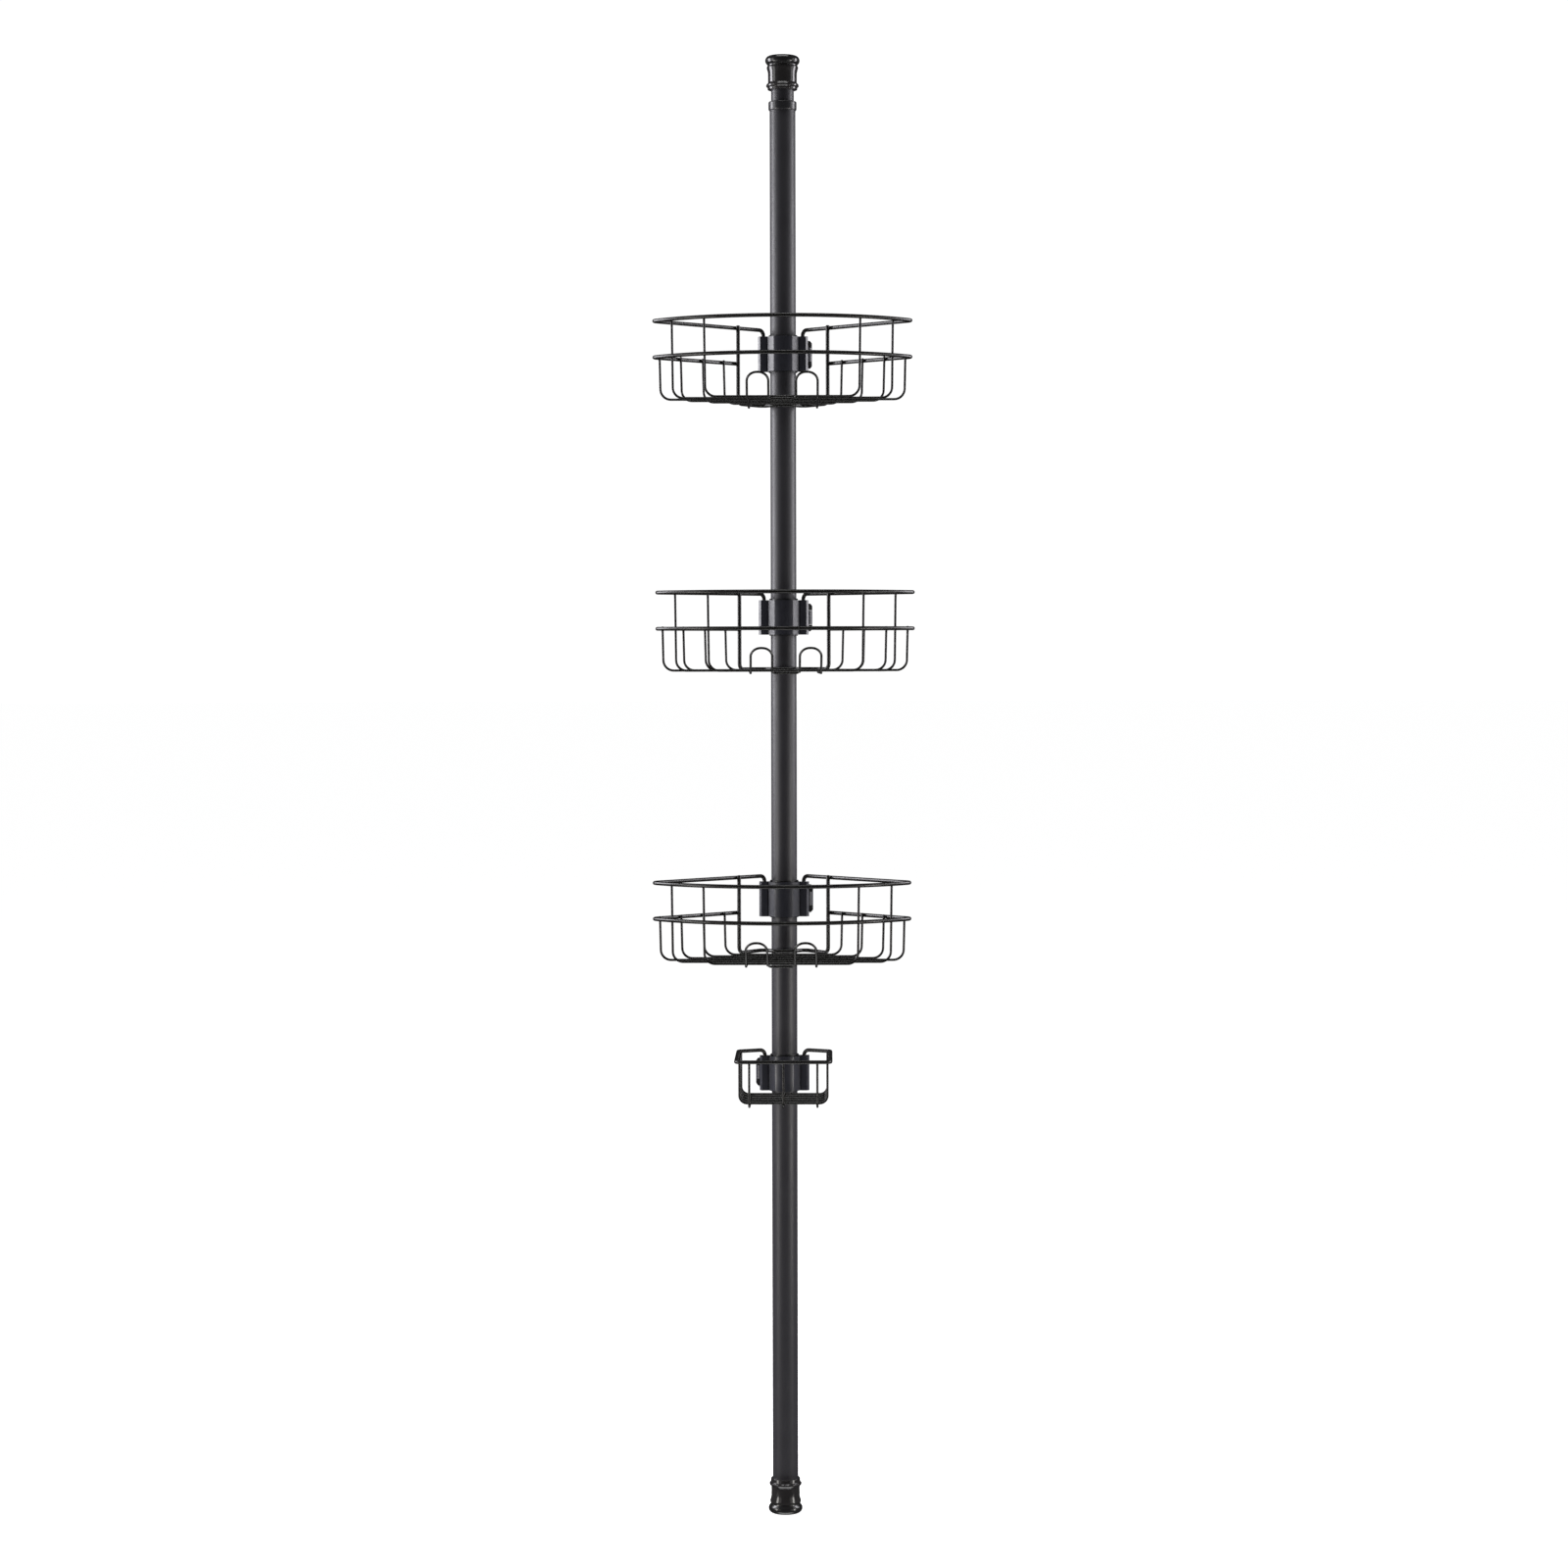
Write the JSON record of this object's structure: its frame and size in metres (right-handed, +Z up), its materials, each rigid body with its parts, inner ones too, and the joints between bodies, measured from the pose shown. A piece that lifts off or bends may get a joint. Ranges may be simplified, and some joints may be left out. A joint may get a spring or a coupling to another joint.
{
  "type": "shower caddy",
  "caption": "Floor-to-ceiling tension pole with bowed corner wire baskets, cloth hooks and a soap dish, each held by a cam clamp.",
  "frame": {"origin": "centre of the underside of the foot pad, on the pole axis", "axes": "+Z up along the pole; the baskets reach out towards -Y; +X is to the right seen from the front"},
  "size_m": [0.2665, 0.2065, 1.526],
  "materials": {
    "pole_paint": "satin charcoal paint",
    "inner_paint": "satin charcoal paint",
    "wire_coat": "satin black powder coat",
    "clamp_plastic": "satin moulded plastic",
    "lever_plastic": "matt moulded plastic",
    "liner_plastic": "matt moulded plastic",
    "collar_plastic": "gloss moulded plastic",
    "end_plastic": "gloss moulded plastic",
    "end_rubber": "smooth moulded rubber",
    "lock_plastic": "natural moulded plastic",
    "steel": "zinc plated"
  },
  "bodies": {
    "pole": {"foot_pad": "end_rubber", "foot_socket": "end_plastic", "outer_tube": "pole_paint", "tube_collar": "collar_plastic"},
    "lock": {"lock_sleeve": "lock_plastic"},
    "inner_pole": {"lock_core": "lock_plastic", "lock_screw": "steel", "inner_tube": "inner_paint", "spring_seat": "steel", "cap_spring": "steel"},
    "cap": {"cap_socket": "end_plastic", "top_pad": "end_rubber"},
    "upper_grip": {"upper_liner": "liner_plastic"},
    "upper_clamp": {"upper_clamp_front": "clamp_plastic", "upper_clamp_back": "clamp_plastic", "upper_clamp_screws": "steel", "upper_lever_pin": "steel"},
    "upper_cam": {"upper_lever": "lever_plastic"},
    "upper_basket": {"upper_top_rail": "wire_coat", "upper_mid_rail": "wire_coat", "upper_front_wires": "wire_coat", "upper_rear_wires": "wire_coat", "upper_saddle_wire": "wire_coat", "upper_hook_wire": "wire_coat"},
    "middle_grip": {"middle_liner": "liner_plastic"},
    "middle_clamp": {"middle_clamp_front": "clamp_plastic", "middle_clamp_back": "clamp_plastic", "middle_clamp_screws": "steel", "middle_lever_pin": "steel"},
    "middle_cam": {"middle_lever": "lever_plastic"},
    "middle_basket": {"middle_top_rail": "wire_coat", "middle_mid_rail": "wire_coat", "middle_front_wires": "wire_coat", "middle_rear_wires": "wire_coat", "middle_saddle_wire": "wire_coat", "middle_hook_wire": "wire_coat"},
    "lower_grip": {"lower_liner": "liner_plastic"},
    "lower_clamp": {"lower_clamp_front": "clamp_plastic", "lower_clamp_back": "clamp_plastic", "lower_clamp_screws": "steel", "lower_lever_pin": "steel"},
    "lower_cam": {"lower_lever": "lever_plastic"},
    "lower_basket": {"lower_top_rail": "wire_coat", "lower_mid_rail": "wire_coat", "lower_front_wires": "wire_coat", "lower_rear_wires": "wire_coat", "lower_saddle_wire": "wire_coat", "lower_hook_wire": "wire_coat"},
    "dish_grip": {"dish_liner": "liner_plastic"},
    "dish_clamp": {"dish_clamp_front": "clamp_plastic", "dish_clamp_back": "clamp_plastic", "dish_clamp_screws": "steel", "dish_lever_pin": "steel"},
    "dish_cam": {"dish_lever": "lever_plastic"},
    "soap_dish": {"dish_rim": "wire_coat", "dish_floor_wires": "wire_coat", "dish_front_wires": "wire_coat"}
  },
  "joints": [
    {"name": "length_adjust", "type": "slide", "parent": "pole", "child": "lock", "axis": [0, 0, 1], "range_m": [0, 0.94]},
    {"name": "twist_lock", "type": "hinge", "parent": "lock", "child": "inner_pole", "pos_m": [0, 0, 1], "axis": [0, 0, 1], "range_deg": [0, 180]},
    {"name": "cap_press", "type": "slide", "parent": "inner_pole", "child": "cap", "axis": [0, 0, 1], "range_m": [-0.01, 0], "stiffness_N_per_m": 4000, "deforming": ["cap_spring"]},
    {"name": "upper_height", "type": "slide", "parent": "pole", "child": "upper_grip", "axis": [0, 0, 1], "range_m": [-0.08, 0.19]},
    {"name": "upper_turn", "type": "hinge", "parent": "upper_grip", "child": "upper_clamp", "pos_m": [0, 0, 1.2168], "axis": [0, 0, 1], "range_deg": [-180, 180]},
    {"name": "upper_cam_lever", "type": "hinge", "parent": "upper_clamp", "child": "upper_cam", "pos_m": [0.02524, 0.00737, 1.2168], "axis": [0, 0, -1], "range_deg": [0, 100]},
    {"name": "upper_lift_off", "type": "slide", "parent": "upper_clamp", "child": "upper_basket", "axis": [0, 0, 1], "range_m": [0, 0.03]},
    {"name": "middle_height", "type": "slide", "parent": "pole", "child": "middle_grip", "axis": [0, 0, 1], "range_m": [-0.08, 0.07]},
    {"name": "middle_turn", "type": "hinge", "parent": "middle_grip", "child": "middle_clamp", "pos_m": [0, 0, 0.9429], "axis": [0, 0, 1], "range_deg": [-180, 180]},
    {"name": "middle_cam_lever", "type": "hinge", "parent": "middle_clamp", "child": "middle_cam", "pos_m": [0.0251, 0.00783, 0.9429], "axis": [0, 0, -1], "range_deg": [0, 100]},
    {"name": "middle_lift_off", "type": "slide", "parent": "middle_clamp", "child": "middle_basket", "axis": [0, 0, 1], "range_m": [0, 0.03]},
    {"name": "lower_height", "type": "slide", "parent": "pole", "child": "lower_grip", "axis": [0, 0, 1], "range_m": [-0.02, 0.09]},
    {"name": "lower_turn", "type": "hinge", "parent": "lower_grip", "child": "lower_clamp", "pos_m": [0, 0, 0.6484], "axis": [0, 0, 1], "range_deg": [-180, 180]},
    {"name": "lower_cam_lever", "type": "hinge", "parent": "lower_clamp", "child": "lower_cam", "pos_m": [0.02534, 0.00702, 0.6484], "axis": [0, 0, -1], "range_deg": [0, 100]},
    {"name": "lower_lift_off", "type": "slide", "parent": "lower_clamp", "child": "lower_basket", "axis": [0, 0, 1], "range_m": [0, 0.03]},
    {"name": "dish_height", "type": "slide", "parent": "pole", "child": "dish_grip", "axis": [0, 0, 1], "range_m": [-0.39, 0.04]},
    {"name": "dish_turn", "type": "hinge", "parent": "dish_grip", "child": "dish_clamp", "pos_m": [0, 0, 0.4657], "axis": [0, 0, 1], "range_deg": [-180, 180]},
    {"name": "dish_cam_lever", "type": "hinge", "parent": "dish_clamp", "child": "dish_cam", "pos_m": [-0.02511, 0.00781, 0.4657], "axis": [0, 0, 1], "range_deg": [0, 100]},
    {"name": "dish_lift_off", "type": "slide", "parent": "dish_clamp", "child": "soap_dish", "axis": [0, 0, 1], "range_m": [0, 0.03]}
  ]
}
